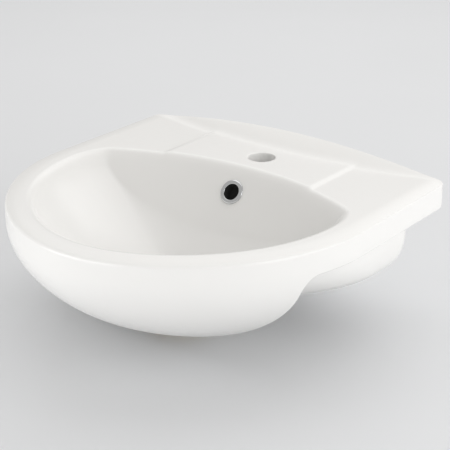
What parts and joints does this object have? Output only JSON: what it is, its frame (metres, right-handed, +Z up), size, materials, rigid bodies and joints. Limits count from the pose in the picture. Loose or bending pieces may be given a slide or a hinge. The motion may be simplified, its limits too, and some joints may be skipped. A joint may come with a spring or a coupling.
{
  "type": "semi-recessed vanity basin",
  "caption": "White semi-recessed vanity basin: D-shaped rim, raised tap platform with one tap hole, chrome overflow ring, click waste and a rounded front pod.",
  "frame": {"origin": "middle of the basin's back edge, at the height of the counter top that the rim's ledge rests on", "axes": "+X to the right as the user faces the basin, -Y out to the user, +Y into the wall, +Z up"},
  "size_m": [0.464, 0.442, 0.1915],
  "materials": {
    "vitreous_china": "white gloss glaze",
    "chrome_plate": "polished chrome",
    "black_rubber": "matt",
    "grey_rubber": "matt",
    "natural_plastic": "matt",
    "machined_brass": "machined",
    "spring_steel": "drawn wire"
  },
  "bodies": {
    "basin": {"basin_body": "vitreous_china", "overflow_ring": "chrome_plate", "waste_body": "chrome_plate", "flange_seal": "grey_rubber", "cone_washer": "black_rubber", "slip_washer": "natural_plastic", "backnut": "machined_brass", "cartridge_sleeve": "natural_plastic", "guide_collar": "natural_plastic", "click_spring": "spring_steel"},
    "plug": {"plug_cap": "chrome_plate", "plug_seal": "black_rubber", "plunger": "machined_brass"},
    "rotor": {"click_rotor": "natural_plastic"}
  },
  "joints": [
    {"name": "plug_press", "type": "slide", "parent": "basin", "child": "plug", "axis": [0, 0, -1], "range_m": [0, 0.008], "deforming": ["click_spring"]},
    {"name": "rotor_index", "type": "hinge", "parent": "plug", "child": "rotor", "pos_m": [0, -0.232, -0.1055], "axis": [0, 0, 1], "range_deg": [0, 45]}
  ],
  "couplings": [
    {"joint": "rotor_index", "follows": "plug_press", "rad_per_m": 98.17}
  ]
}
